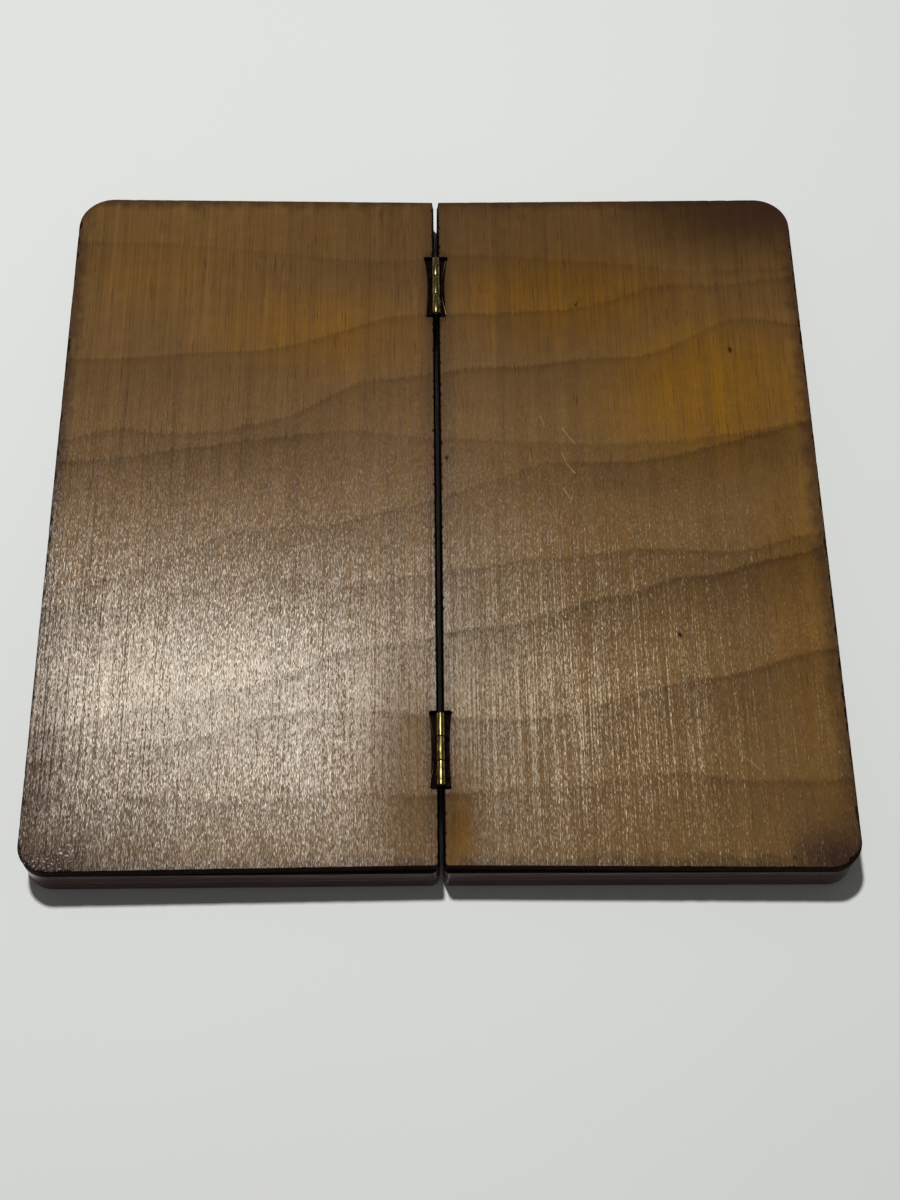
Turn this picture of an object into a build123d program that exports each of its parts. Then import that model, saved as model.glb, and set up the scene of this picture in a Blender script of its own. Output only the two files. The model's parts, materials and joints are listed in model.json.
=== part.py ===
from build123d import *
import os

# A folding chessboard: two leaves that lie flat side by side and close like a book.
# The frame stands on the table under the middle of the opened board. +X runs across the
# fold to the right leaf, +Y runs along the fold to the far end, +Z points up.
# The stained faces are up. The playing field is on the underside.

# Board and leaves
square = 20.0
ranks = 8
border = 8.0
fold_gap = 1.5
fold_gap_below = 0.8
far_corner_radius = 8.5
near_corner_radius = 6.0
left_inner_corner_radius = 2.0
right_inner_corner_radius = 1.2

# How much shorter a leaf's ends are at the fold: the face was trimmed more than the boards
face_slant = 1.0
board_slant = 0.25

# Layers of a leaf, from the table up
playing_panel_t = 5.0
core_panel_t = 3.8
face_panel_t = 2.7
face_veneer_t = 0.5
square_t = 0.5
square_joint = 0.1
base_round = 0.6
glue_line_round = 0.25
face_round = 0.15

# Hinges: the plates lie just under the face veneer and the pins just above the face
hinge_inset = 27.0
pin_above_face = 0.1
pin_r = 0.5
pin_play = 0.05
plate_t = 0.45
plate_w = 8.0
barrel_l = 16.5
knuckle_gap = 0.2
slot_reach = 1.35
slot_flare = 2.3

# Notches cut round the knuckles: half widths at the end away from the viewer, at the
# waist and at the end near the viewer
notch_l = 18.0
notch_floor_drop = 0.45
far_notch = (3.0, 2.05, 2.45)
near_notch = (2.5, 1.95, 2.2)

# Nails in the plates
nail_r = 0.45
nail_head_r = 0.9
nail_head_t = 0.3
nail_l = 6.0
nail_from_fold = 5.2
nail_spread = 9.2

# Closure magnets under the face veneer
magnet_r = 1.5
magnet_t = 2.0
magnet_from_side = 10.8
magnet_from_end = 4.5

# Derived sizes
leaf_w = ranks / 2 * square + border
leaf_l = ranks * square + 2 * border
leaf_near_x = fold_gap / 2
board_near_x = fold_gap_below / 2
leaf_far_x = leaf_near_x + leaf_w
core_z = playing_panel_t
face_panel_z = core_z + core_panel_t
veneer_z = face_panel_z + face_panel_t
plate_top_z = veneer_z
face_z = veneer_z + face_veneer_t
pin_z = face_z + pin_above_face
plate_z = plate_top_z - plate_t
knuckle_r = pin_z - plate_z
knuckle_l = (barrel_l - 2 * knuckle_gap) / 3
notch_floor_z = plate_z - notch_floor_drop
hinge_y = leaf_l / 2 - hinge_inset
magnet_x = leaf_far_x - magnet_from_side
magnet_y = leaf_l / 2 - magnet_from_end

left, right = -1, 1
sides = {"left": left, "right": right}
downwards = (Align.CENTER, Align.CENTER, Align.MAX)
hinges = {
    "far": {"y": hinge_y, "outer_knuckles": left, "notch": far_notch},
    "near": {"y": -hinge_y, "outer_knuckles": right, "notch": near_notch},
}


def leaf_sketch(side, z, slant, near_x, inner_radius=0):
    """One leaf's outline: a little shorter at the fold, with round corners outside."""
    half_outer = leaf_l / 2
    half_fold = half_outer - slant * (leaf_far_x - near_x) / leaf_w
    corners = [(near_x, -half_fold), (leaf_far_x, -half_outer),
               (leaf_far_x, half_outer), (near_x, half_fold)]
    with BuildSketch(Plane.XY.offset(z)) as outline:
        with BuildLine():
            Polyline(*[(side * x, y) for x, y in corners], close=True)
        make_face()
        fillet(corners_at(outline, side * leaf_far_x)[0], near_corner_radius)
        fillet(corners_at(outline, side * leaf_far_x)[-1], far_corner_radius)
        if inner_radius:
            fillet(corners_at(outline, side * near_x)[0], inner_radius)
    return outline


def corners_at(outline, x):
    """An outline's points at one x, from the near end to the far end."""
    return outline.vertices().filter_by_position(Axis.X, x - 0.01, x + 0.01).sort_by(Axis.Y)


def board_sketch(side, z):
    """The outline of a leaf's lower boards, eased at the near end of the fold."""
    inner_radius = left_inner_corner_radius if side == left else right_inner_corner_radius
    return leaf_sketch(side, z, board_slant, board_near_x, inner_radius)


def notch_sketch(hinge, z):
    """The waisted notch round one hinge's knuckles, across both leaves."""
    far_w, waist_w, near_w = hinge["notch"]
    far_y = hinge["y"] + notch_l / 2
    near_y = hinge["y"] - notch_l / 2
    with BuildSketch(Plane.XY.offset(z)) as notch:
        with BuildLine():
            ThreePointArc((far_w, far_y), (waist_w, hinge["y"]), (near_w, near_y))
            Line((near_w, near_y), (-near_w, near_y))
            ThreePointArc((-near_w, near_y), (-waist_w, hinge["y"]), (-far_w, far_y))
            Line((-far_w, far_y), (far_w, far_y))
        make_face()
    return notch


def round_outer_edges(panel, z, radius):
    """Breaks the sharp edge round a panel at one height."""
    at_z = panel.edges().filter_by_position(Axis.Z, z - 0.01, z + 0.01)
    fillet(at_z, radius)


def make_playing_panel(side):
    """The lower board, with a shallow bed for the squares on its underside."""
    outline = board_sketch(side, 0)
    with BuildPart() as panel:
        extrude(outline.sketch, amount=playing_panel_t)
        rim = panel.faces().sort_by(Axis.Z)[0].edges()
        fold_edge = rim.sort_by(Axis.X)[0 if side == right else -1]
        fillet([edge for edge in rim if edge != fold_edge], base_round)
        round_outer_edges(panel, playing_panel_t, glue_line_round)
        bed_w = leaf_near_x - board_near_x + ranks / 2 * square
        with BuildSketch(Plane.XY):
            with Locations((side * (board_near_x + bed_w / 2), 0)):
                Rectangle(bed_w, ranks * square)
        extrude(amount=square_t, mode=Mode.SUBTRACT)
    return panel


def make_squares(side, dark):
    """Half of one leaf's squares, every second one, flush with the underside."""
    with BuildPart() as squares:
        with BuildSketch(Plane.XY):
            for column in range(ranks // 2):
                x = side * (leaf_near_x + (column + 0.5) * square)
                for row in range(ranks):
                    y = (row + 0.5 - ranks / 2) * square
                    file = column if side == right else -1 - column
                    if ((file + row) % 2 == 0) == dark:
                        with Locations((x, y)):
                            Rectangle(square - square_joint, square - square_joint)
        extrude(amount=square_t)
    return squares


def make_core_panel(side):
    """The middle board, drilled for the tips of the nails."""
    outline = board_sketch(side, core_z)
    with BuildPart() as panel:
        extrude(outline.sketch, amount=core_panel_t)
        round_outer_edges(panel, core_z, glue_line_round)
        round_outer_edges(panel, face_panel_z, glue_line_round)
        for hinge in hinges.values():
            with Locations(*nail_heads(side, hinge)):
                Cylinder(nail_r, nail_l, align=downwards, mode=Mode.SUBTRACT)
    return panel


def nail_heads(side, hinge):
    """Where one plate's two nail heads lie, flush with its top."""
    x = side * nail_from_fold
    return [(x, hinge["y"] + end * nail_spread / 2, plate_top_z) for end in (-1, 1)]


def fold_wedge(side):
    """What is planed off a face panel at the fold, so that the fold is wider at the top."""
    with BuildSketch(Plane.XZ) as wedge:
        with BuildLine():
            Polyline((side * board_near_x, face_panel_z), (side * leaf_near_x, veneer_z),
                     (0, veneer_z), (0, face_panel_z), close=True)
        make_face()
    return wedge


def make_face_panel(side):
    """The upper board, notched and sunk for the hinges and bored for the magnets."""
    outline = leaf_sketch(side, face_panel_z, face_slant, board_near_x)
    notches = [notch_sketch(hinge, notch_floor_z) for hinge in hinges.values()]
    with BuildPart() as panel:
        extrude(outline.sketch, amount=face_panel_t)
        extrude(fold_wedge(side).sketch, amount=leaf_l / 2, both=True, mode=Mode.SUBTRACT)
        round_outer_edges(panel, face_panel_z, glue_line_round)
        for notch in notches:
            extrude(notch.sketch, amount=face_panel_t, mode=Mode.SUBTRACT)
        for hinge in hinges.values():
            with BuildSketch(Plane.XY.offset(plate_z)):
                with Locations((side * plate_w / 2, hinge["y"])):
                    Rectangle(plate_w, barrel_l)
            extrude(amount=face_panel_t, mode=Mode.SUBTRACT)
            with Locations(*nail_heads(side, hinge)):
                Cylinder(nail_r, nail_l, align=downwards, mode=Mode.SUBTRACT)
        with Locations(*magnet_places(side)):
            Cylinder(magnet_r, magnet_t, align=downwards, mode=Mode.SUBTRACT)
    return panel


def magnet_places(side):
    """The tops of one leaf's magnets, just under the face veneer."""
    return [(side * magnet_x, end * magnet_y, veneer_z) for end in (-1, 1)]


def make_face_veneer(side):
    """The thin stained face, notched round the knuckles."""
    outline = leaf_sketch(side, veneer_z, face_slant, leaf_near_x)
    notches = [notch_sketch(hinge, veneer_z) for hinge in hinges.values()]
    with BuildPart() as veneer:
        extrude(outline.sketch, amount=face_veneer_t)
        round_outer_edges(veneer, face_z, face_round)
        for notch in notches:
            extrude(notch.sketch, amount=face_veneer_t, mode=Mode.SUBTRACT)
    return veneer


def make_magnets(side):
    """One leaf's two closure magnets."""
    with BuildPart() as magnets:
        with Locations(*magnet_places(side)):
            Cylinder(magnet_r, magnet_t, align=downwards)
    return magnets


def plate_slots(has_outer, y):
    """The slots in a plate's fold edge that leave room for the other plate's knuckles."""
    half_middle = knuckle_l / 2 + knuckle_gap
    half_barrel = barrel_l / 2
    if has_outer:
        return [[(0, y - half_middle), (slot_reach, y - half_middle),
                 (slot_reach, y + half_middle), (0, y + half_middle)]]
    return [
        [(0, y + end * half_middle), (slot_reach, y + end * half_middle),
         (slot_flare, y + end * half_barrel), (0, y + end * half_barrel)]
        for end in (-1, 1)
    ]


def make_plate(side, hinge):
    """One hinge plate, rolled into knuckles. The outer ones grip the pin, a middle one turns on it."""
    has_outer = hinge["outer_knuckles"] == side
    pitch = knuckle_l + knuckle_gap
    rows = (-pitch, pitch) if has_outer else (0,)
    bore_r = pin_r if has_outer else pin_r + pin_play
    y = hinge["y"]
    with BuildPart() as plate:
        with BuildSketch(Plane.XY.offset(plate_z)):
            with Locations((side * plate_w / 2, y)):
                Rectangle(plate_w, barrel_l)
            for slot in plate_slots(has_outer, y):
                with BuildLine():
                    Polyline(*[(side * u, v) for u, v in slot], close=True)
                make_face(mode=Mode.SUBTRACT)
        extrude(amount=plate_t)
        for row in rows:
            with BuildSketch(Plane.XZ.offset(-(y + row))):
                with Locations((0, pin_z)):
                    Circle(knuckle_r)
            extrude(amount=knuckle_l / 2, both=True)
        with BuildSketch(Plane.XZ.offset(-y)):
            with Locations((0, pin_z)):
                Circle(bore_r)
        extrude(amount=barrel_l / 2, both=True, mode=Mode.SUBTRACT)
        with Locations(*nail_heads(side, hinge)):
            CounterBoreHole(nail_r, nail_head_r, nail_head_t, depth=plate_t)
    return plate


def make_pin(hinge):
    """One hinge pin, as long as the three knuckles together."""
    with BuildPart() as pin:
        with BuildSketch(Plane.XZ.offset(-hinge["y"])):
            with Locations((0, pin_z)):
                Circle(pin_r)
        extrude(amount=barrel_l / 2, both=True)
    return pin


def make_nails(side, hinge):
    """The two flat-headed nails through one plate."""
    with BuildPart() as nails:
        with Locations(*nail_heads(side, hinge)):
            Cylinder(nail_head_r, nail_head_t, align=downwards)
            Cylinder(nail_r, nail_l, align=downwards)
    return nails


def finish(builder, name):
    """Names a finished piece and writes its file."""
    builder.part.label = name
    export_step(builder.part, f"parts/{name}.step")


os.makedirs("parts", exist_ok=True)
for side_name, side in sides.items():
    finish(make_playing_panel(side), f"{side_name}_playing_panel")
    finish(make_squares(side, dark=False), f"{side_name}_light_squares")
    finish(make_squares(side, dark=True), f"{side_name}_dark_squares")
    finish(make_core_panel(side), f"{side_name}_core_panel")
    finish(make_face_panel(side), f"{side_name}_face_panel")
    finish(make_face_veneer(side), f"{side_name}_face_veneer")
    finish(make_magnets(side), f"{side_name}_closure_magnets")
for hinge_name, hinge in hinges.items():
    finish(make_pin(hinge), f"{hinge_name}_hinge_pin")
    for side_name, side in sides.items():
        finish(make_plate(side, hinge), f"{hinge_name}_hinge_{side_name}_plate")
        finish(make_nails(side, hinge), f"{hinge_name}_hinge_{side_name}_nails")
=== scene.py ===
"""A folding wooden chessboard, opened flat with its stained faces up, on a pale table."""

import json
import logging
import math
from dataclasses import dataclass
from enum import Enum

import bmesh
import bpy
from mathutils import Matrix, Vector, noise


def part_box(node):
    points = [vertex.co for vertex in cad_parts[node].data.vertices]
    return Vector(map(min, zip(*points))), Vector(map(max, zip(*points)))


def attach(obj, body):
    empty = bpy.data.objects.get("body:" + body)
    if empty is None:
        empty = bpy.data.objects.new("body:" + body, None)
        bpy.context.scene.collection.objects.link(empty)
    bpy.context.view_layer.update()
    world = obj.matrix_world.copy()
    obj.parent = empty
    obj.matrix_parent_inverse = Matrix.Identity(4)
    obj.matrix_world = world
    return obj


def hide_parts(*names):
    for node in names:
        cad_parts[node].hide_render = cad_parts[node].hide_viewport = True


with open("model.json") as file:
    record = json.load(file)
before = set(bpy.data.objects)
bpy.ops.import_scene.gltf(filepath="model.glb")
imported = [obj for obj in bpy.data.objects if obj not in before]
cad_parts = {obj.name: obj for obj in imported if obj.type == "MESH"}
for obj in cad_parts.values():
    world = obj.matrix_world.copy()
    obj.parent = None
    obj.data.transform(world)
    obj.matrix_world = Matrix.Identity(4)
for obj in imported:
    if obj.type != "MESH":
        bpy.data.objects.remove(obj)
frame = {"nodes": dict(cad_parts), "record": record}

Tree = bpy.types.NodeTree
Node = bpy.types.Node
Material = bpy.types.Material
Object = bpy.types.Object
Sizes = tuple[float, float, float]

MM = 0.001
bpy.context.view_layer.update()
LOG = logging.getLogger("chessboard")

# Settings that many nodes and bevels share
SMOOTH = {"interpolation_type": "SMOOTHSTEP"}
TO_WORLD = {"vector_type": "VECTOR", "convert_from": "OBJECT", "convert_to": "WORLD"}
ROUND_EDGES = {"profile": 0.5, "affect": "EDGES", "material": -1}


class Side(Enum):
    """The two leaves, by the sign of X on their side of the fold."""

    LEFT = -1
    RIGHT = 1

    @property
    def word(self) -> str:
        """The side's name as the nodes spell it."""
        return self.name.lower()

    @property
    def body(self) -> str:
        """The body that this side's pieces ride on."""
        return f"{self.word}_leaf"


class HingePlace(Enum):
    """The two hinges along the fold."""

    FAR = "far"
    NEAR = "near"


def linear(colour: str) -> tuple[float, float, float, float]:
    """Turns an sRGB hex colour into the linear colour that a shader socket takes.

    Args:
        colour: Six hex digits after a hash sign.

    Returns:
        Linear red, green and blue, and an alpha of 1.
    """
    shares = [int(colour[i:i + 2], 16) / 255 for i in (1, 3, 5)]
    red, green, blue = (s / 12.92 if s <= 0.04045 else ((s + 0.055) / 1.055) ** 2.4 for s in shares)
    return red, green, blue, 1.0


def add_node(tree: Tree, kind: str, inputs: dict | None = None, **settings) -> Node:
    """Adds one shader node with its settings and links.

    Args:
        tree: The node tree that gets the node.
        kind: The node's type, without the leading ShaderNode.
        inputs: Socket name or number to a value, a socket, or a node whose first enabled output is meant.
        settings: The node's own properties.

    Returns:
        The new node.
    """
    node = tree.nodes.new("ShaderNode" + kind)
    for name, value in settings.items():
        setattr(node, name, value)
    for key, value in (inputs or {}).items():
        if isinstance(value, Node):
            value = next(output for output in value.outputs if output.enabled)
        if isinstance(value, bpy.types.NodeSocket):
            tree.links.new(value, node.inputs[key])
        else:
            node.inputs[key].default_value = value
    return node


def combine(tree: Tree, parts: list[Node], operation: str) -> Node:
    """Brings several values together into one.

    Args:
        tree: The node tree.
        parts: The nodes that give the values.
        operation: The Math node's operation.

    Returns:
        The node that gives the joint value.
    """
    total, *rest = parts
    for part in rest:
        total = add_node(tree, "Math", {0: total, 1: part}, operation=operation)
    return total


def grains(tree: Tree, place: Node, size_mm: Sizes, **sockets: float) -> Node:
    """Adds a noise whose grains have a real size on each axis.

    Args:
        tree: The node tree.
        place: The node that gives the place in millimetres.
        size_mm: The grains' size along X, Y and Z.
        sockets: The noise's own sockets, such as Detail.

    Returns:
        The noise node.
    """
    scale = [1 / size for size in size_mm]
    scaled = add_node(tree, "VectorMath", {0: place, 1: scale}, operation="MULTIPLY")
    return add_node(tree, "TexNoise", {"Vector": scaled, "Scale": 1.0, **sockets})


def lay_colours(tree: Tree, ground: Node | tuple, layers: list[tuple[Node, str]]) -> Node:
    """Lays colours over a ground one after the other.

    Args:
        tree: The node tree.
        ground: The colour underneath.
        layers: For each layer, the mask that shows it and its sRGB hex colour.

    Returns:
        The node that gives the colour.
    """
    for mask, colour in layers:
        ground = add_node(tree, "Mix", {0: mask, 6: ground, 7: linear(colour)}, data_type="RGBA")
    return ground


def dress(piece: Object, *materials: Material) -> None:
    """Gives a piece its materials, in slot order, and leaves its faces in their slots.

    Args:
        piece: The object to dress.
        materials: One material for each slot.
    """
    slots = piece.data.materials
    while len(slots) < len(materials):
        slots.append(None)
    while len(slots) > len(materials):
        slots.pop()
    for number, material in enumerate(materials):
        slots[number] = material


def make_piece(bm: bmesh.types.BMesh, name: str, side: Side, replaced: str | None) -> Object:
    """Turns a finished bmesh into a piece that rides on a leaf.

    Args:
        bm: The mesh, in metres in the frame; it is freed here.
        name: The piece's name.
        side: The leaf that carries it.
        replaced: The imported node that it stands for, if any.

    Returns:
        The new object.
    """
    mesh = bpy.data.meshes.new(name)
    bm.to_mesh(mesh)
    bm.free()
    piece = bpy.data.objects.new(name, mesh)
    bpy.context.scene.collection.objects.link(piece)
    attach(piece, side.body)
    if replaced:
        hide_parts(replaced)
    return piece


def shade_by_angle(bm: bmesh.types.BMesh, limit_deg: float) -> None:
    """Smooths curved faces, but keeps level faces flat and turns past a limit sharp.

    Args:
        bm: The mesh.
        limit_deg: The largest turn that is still smooth.
    """
    level = 0.999
    for face in bm.faces:
        face.smooth = abs(face.normal.z) < level
    for edge in bm.edges:
        edge.smooth = edge.is_manifold and edge.calc_face_angle(math.pi) < math.radians(limit_deg)


@dataclass(frozen=True)
class Ramp:
    """A level that goes from a first value to a last one while what it follows goes from start to end."""

    start: float
    end: float
    first: float = 0.0
    last: float = 1.0

    def over(self, value: Node | bpy.types.NodeSocket) -> dict:
        """Gives the sockets of a Map Range node.

        Args:
            value: What the level follows.

        Returns:
            Socket name to value.
        """
        return {
            "Value": value, "From Min": self.start, "From Max": self.end,
            "To Min": self.first, "To Max": self.last,
        }


@dataclass(frozen=True)
class Wash:
    """One thin wash of stain: darkest along a slow wave, and fading out towards the near end."""

    level_mm: float
    slope: float
    swell_mm: float
    wave_mm: float
    fade_mm: float
    strength: float


@dataclass(frozen=True)
class Pool:
    """A soft oval of stain: its middle, its half sizes and its strength."""

    x_mm: float
    y_mm: float
    half_x_mm: float
    half_y_mm: float
    strength: float


class Finish:
    """One finish: each kind says what its surface is, and a material is made from that."""

    name: str

    def surface(self, tree: Tree, place: Node) -> dict:
        """Adds the finish's patterns.

        Args:
            tree: The node tree.
            place: The node that gives the place on the object in millimetres.

        Returns:
            The Principled shader's sockets: name to value, socket or node.
        """
        raise NotImplementedError

    def material(self) -> Material:
        """Builds the finish's material.

        Returns:
            The material.
        """
        material = bpy.data.materials.new(self.name)
        material.use_nodes = True
        tree = material.node_tree
        tree.nodes.clear()
        metres = add_node(tree, "TexCoord").outputs["Object"]
        place = add_node(tree, "VectorMath", {0: metres, 1: (1 / MM,) * 3}, operation="MULTIPLY")
        shader = add_node(tree, "BsdfPrincipled", self.surface(tree, place))
        add_node(tree, "OutputMaterial", {"Surface": shader})
        return material


@dataclass(frozen=True)
class StainedVeneer(Finish):
    """Straight-grained walnut veneer, washed with thin brown stains and sealed with a brushed satin lacquer.

    Each wash dries with a darker tide line, which bleeds a little along the grain. Under the thin
    lacquer each fibre leans its own way across the grain, and so does each short facet of it, so
    that the lamp's reflection spreads across the grain and breaks into sparkling streaks. The
    facets are drawn a little coarser than real pores, so that they show. The fibres also dip along
    their length, which moves the reflection.
    """

    name: str = "stained_veneer"

    # Stains, from the bare ground up to the scorch, and the chipped lacquer
    brown: str = "#664923"
    grey_brown: str = "#634929"
    amber: str = "#744E0E"
    umber: str = "#2B1A0E"
    scorch: str = "#0D0503"
    bruise: str = "#2A1716"
    pale: str = "#D2C2AE"

    # Grain: sizes across it, along it and into the leaf, and the tones that each size adds
    fibre_mm: Sizes = (0.32, 40.0, 10.0)
    streak_mm: Sizes = (2.6, 70.0, 10.0)
    pore_mm: Sizes = (0.3, 8.0, 10.0)
    mottle_mm: float = 3.2
    cloud_mm: float = 46.0
    tones: tuple = (
        ("fibre", Ramp(0.3, 0.7, 0.78, 1.22)),
        ("streak", Ramp(0.3, 0.7, 0.88, 1.12)),
        ("mottle", Ramp(0.3, 0.7, 0.93, 1.07)),
        ("pore", Ramp(0.64, 0.72, 1.0, 0.6)),
    )

    # Washes: how far they bleed, their front, their tide line and how they come and go
    bleed_mm: float = 3.4
    front: Ramp = Ramp(-0.25, 0.35)
    tide_mm: tuple[float, float] = (0.5, 2.2)
    tide_share: float = 0.7
    come_and_go: Ramp = Ramp(0.3, 0.65, 0.55, 1.25)
    wash_limit: float = 0.85
    waves_apart: float = 17.3

    # Pools: the shares of their half sizes where they start to fade and where they end
    pool_core: float = 0.15
    pool_reach: float = 1.25
    patchy: Ramp = Ramp(0.3, 0.7, 0.7, 1.2)

    # Outline of a leaf and of its notches, with a height above everything that leaves Z out of
    # the distances, and the scorch and the stain along them
    outer_mm: tuple[float, float] = (88.75, 88.0)
    corner_mm: float = 7.2
    fold_mm: float = 0.75
    hinge_y_mm: float = 61.0
    notch_half_mm: float = 9.0
    above_all_mm: float = 50.0
    bite_mm: float = 1.5
    leaves_apart: float = 31.7
    bite: Ramp = Ramp(0.5, 0.8, 0.10, 0.5)
    nick: Ramp = Ramp(0.50, 0.68, 0.16, 0.75)
    char: Ramp = Ramp(-0.12, 0.18, 0.94, 0.0)
    halo: Ramp = Ramp(2.0, 3.8, 0.6, 0.0)
    rim: Ramp = Ramp(0.3, 4.2, 0.6, 0.0)
    rim_wander_mm: float = 5.0
    by_fold: Ramp = Ramp(0.2, 4.5, 0.35, 0.0)

    # Fine damage: how wide it is, how it breaks up, how pale it is and how far it stands out
    scratch_edge: Ramp = Ramp(0.05, 0.2, 1.0, 0.0)
    ring_edge: Ramp = Ramp(0.08, 0.35, 1.0, 0.0)
    crumb_mm: float = 0.55
    broken: Ramp = Ramp(0.49, 0.60)
    chipped: Ramp = Ramp(0.60, 0.66)
    scratch_pale: float = 0.13
    mark_pale: float = 0.85
    mark_mm: float = 0.05
    scratch_mm: float = 0.01

    # Lacquer: how the fibres and facets lean, and the gloss, tint and strength of its sheen
    fibre_lean: float = 0.6
    facet_mm: tuple[float, float] = (0.13, 0.6)
    facet_lean: tuple[float, float] = (0.19, 0.066)
    dip: tuple[float, float] = (0.021, -0.061)
    roughness: float = 0.25
    rough_at_fold: float = 0.04
    rough_by_fold_mm: tuple[float, float] = (5.0, 32.0)
    rough_on_right: float = 0.02
    anisotropic: float = 0.6
    specular: float = 0.205
    dull_specular: float = 0.02
    wash_dulls: float = 0.9
    lacquer_left: str = "#FFF8EA"
    lacquer_right: str = "#FFE9BE"
    yellowing: Ramp = Ramp(-30.0, 70.0)

    washes: tuple = (
        Wash(70.0, -0.06, 5.0, 58.0, 17.0, 0.12),
        Wash(52.0, 0.14, 8.0, 66.0, 22.0, 0.17),
        Wash(34.0, 0.20, 7.0, 44.0, 20.0, 0.18),
        Wash(17.0, 0.05, 8.0, 74.0, 24.0, 0.17),
        Wash(1.0, 0.24, 6.0, 52.0, 18.0, 0.19),
        Wash(-17.0, 0.10, 9.0, 62.0, 26.0, 0.18),
        Wash(-34.0, 0.26, 6.0, 40.0, 20.0, 0.20),
        Wash(-52.0, 0.12, 8.0, 56.0, 22.0, 0.20),
        Wash(-70.0, 0.02, 5.0, 48.0, 22.0, 0.17),
    )
    warm_pools: tuple = (
        Pool(30.0, 58.0, 34.0, 16.0, 0.80),
        Pool(66.0, 30.0, 30.0, 26.0, 0.9),
        Pool(-26.0, 48.0, 34.0, 14.0, 0.55),
        Pool(-70.0, 66.0, 22.0, 12.0, 0.25),
        Pool(3.0, -82.0, 6.0, 12.0, 0.6),
        Pool(84.0, -10.0, 12.0, 56.0, 0.35),
    )
    dark_pools: tuple = (
        Pool(74.0, 86.0, 44.0, 24.0, 0.8),
        Pool(14.0, 88.0, 30.0, 14.0, 0.50),
        Pool(-80.0, -86.0, 30.0, 24.0, 0.45),
        Pool(86.0, -84.0, 16.0, 12.0, 0.40),
        Pool(78.0, -84.0, 5.0, 4.0, 0.45),
        Pool(24.0, 82.0, 66.0, 40.0, 0.35),
    )
    bruises: tuple = (
        Pool(-84.0, -88.0, 14.0, 9.0, 0.8),
        Pool(85.0, -88.0, 14.0, 10.0, 0.9),
        Pool(-92.0, -60.0, 15.0, 42.0, 0.6),
        Pool(90.0, 88.0, 30.0, 14.0, 0.6),
    )
    dull_pools: tuple = (
        Pool(-5.0, -68.0, 13.0, 34.0, 0.75),
        Pool(2.5, -79.0, 8.0, 22.0, 0.9),
        Pool(88.0, -50.0, 34.0, 60.0, 0.6),
        Pool(-85.0, -88.0, 18.0, 12.0, 0.65),
        Pool(-92.0, -62.0, 14.0, 38.0, 0.55),
    )
    specks: tuple = (
        Pool(53.5, -33.9, 0.7, 0.9, 1.0),
        Pool(34.2, 55.5, 0.6, 0.6, 0.8),
        Pool(70.9, 42.3, 0.6, 1.1, 0.9),
        Pool(2.2, 12.0, 0.7, 0.8, 0.9),
        Pool(74.1, -85.8, 0.7, 0.6, 0.8),
    )
    flecks: tuple = (Pool(-83.0, -86.0, 7.0, 3.5, 1.0), Pool(-78.5, -83.1, 2.2, 2.2, 0.9))
    # The middle and the radius of the ring mark
    ring: tuple[float, float, float] = (-78.5, -83.1, 1.3)
    # The two ends of each fine scratch
    scratches: tuple = (
        (24.5, 23.4, 25.2, 20.6), (29.4, 20.0, 32.3, 15.8), (29.0, 13.6, 30.0, 10.4),
        (30.0, 10.4, 31.9, 7.8), (28.9, 3.9, 30.7, 0.8), (62.8, -58.8, 64.6, -62.0),
        (64.6, -62.0, 68.4, -65.9),
    )

    def pools_mask(self, tree: Tree, place: Node, pools: tuple) -> Node:
        """Adds soft oval pools.

        Args:
            tree: The node tree.
            place: The node that gives the place in millimetres.
            pools: The pools.

        Returns:
            The node that gives their joint strength, 0 to 1.
        """
        spots = []
        for pool in pools:
            size = (1 / pool.half_x_mm, 1 / pool.half_y_mm, 0)
            off = add_node(tree, "VectorMath", {0: place, 1: (pool.x_mm, pool.y_mm, 0)}, operation="SUBTRACT")
            off = add_node(tree, "VectorMath", {0: off, 1: size}, operation="MULTIPLY")
            reach = add_node(tree, "VectorMath", {0: off}, operation="LENGTH")
            fade = Ramp(self.pool_core, self.pool_reach, pool.strength, 0.0)
            spots.append(add_node(tree, "MapRange", fade.over(reach), **SMOOTH))
        return combine(tree, spots, "MAXIMUM")

    def wash_mask(self, tree: Tree, bled: Node, cloud: Node) -> Node:
        """Adds the washes.

        Args:
            tree: The node tree.
            bled: The node that gives the place in millimetres, moved along the grain where stain has bled.
            cloud: The slow noise that makes each wash come and go.

        Returns:
            The node that gives their joint darkness.
        """
        parts = add_node(tree, "SeparateXYZ", {0: bled})
        across, along = parts.outputs["X"], parts.outputs["Y"]
        shades = []
        for number, wash in enumerate(self.washes):
            phase = {0: across, 1: 1 / wash.wave_mm, 2: self.waves_apart * number}
            phase = add_node(tree, "Math", phase, operation="MULTIPLY_ADD")
            wave = {"W": phase, "Scale": 1.0, "Detail": 1.5, "Roughness": 0.4}
            wave = add_node(tree, "TexNoise", wave, noise_dimensions="1D")
            rise = {0: wave, 1: 2 * wash.swell_mm, 2: wash.level_mm - wash.swell_mm}
            rise = add_node(tree, "Math", rise, operation="MULTIPLY_ADD")
            crest = add_node(tree, "Math", {0: across, 1: wash.slope, 2: rise}, operation="MULTIPLY_ADD")
            below = add_node(tree, "Math", {0: crest, 1: along}, operation="SUBTRACT")
            start = add_node(tree, "MapRange", self.front.over(below))
            tide = Ramp(*self.tide_mm, self.tide_share * wash.strength, 0.0)
            tide = add_node(tree, "MapRange", tide.over(below))
            fade = Ramp(self.tide_mm[0], wash.fade_mm, wash.strength, 0.0)
            fade = add_node(tree, "MapRange", fade.over(below), **SMOOTH)
            both = add_node(tree, "Math", {0: tide, 1: fade})
            shades.append(add_node(tree, "Math", {0: start, 1: both}, operation="MULTIPLY"))
        total = combine(tree, shades, "ADD")
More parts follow.
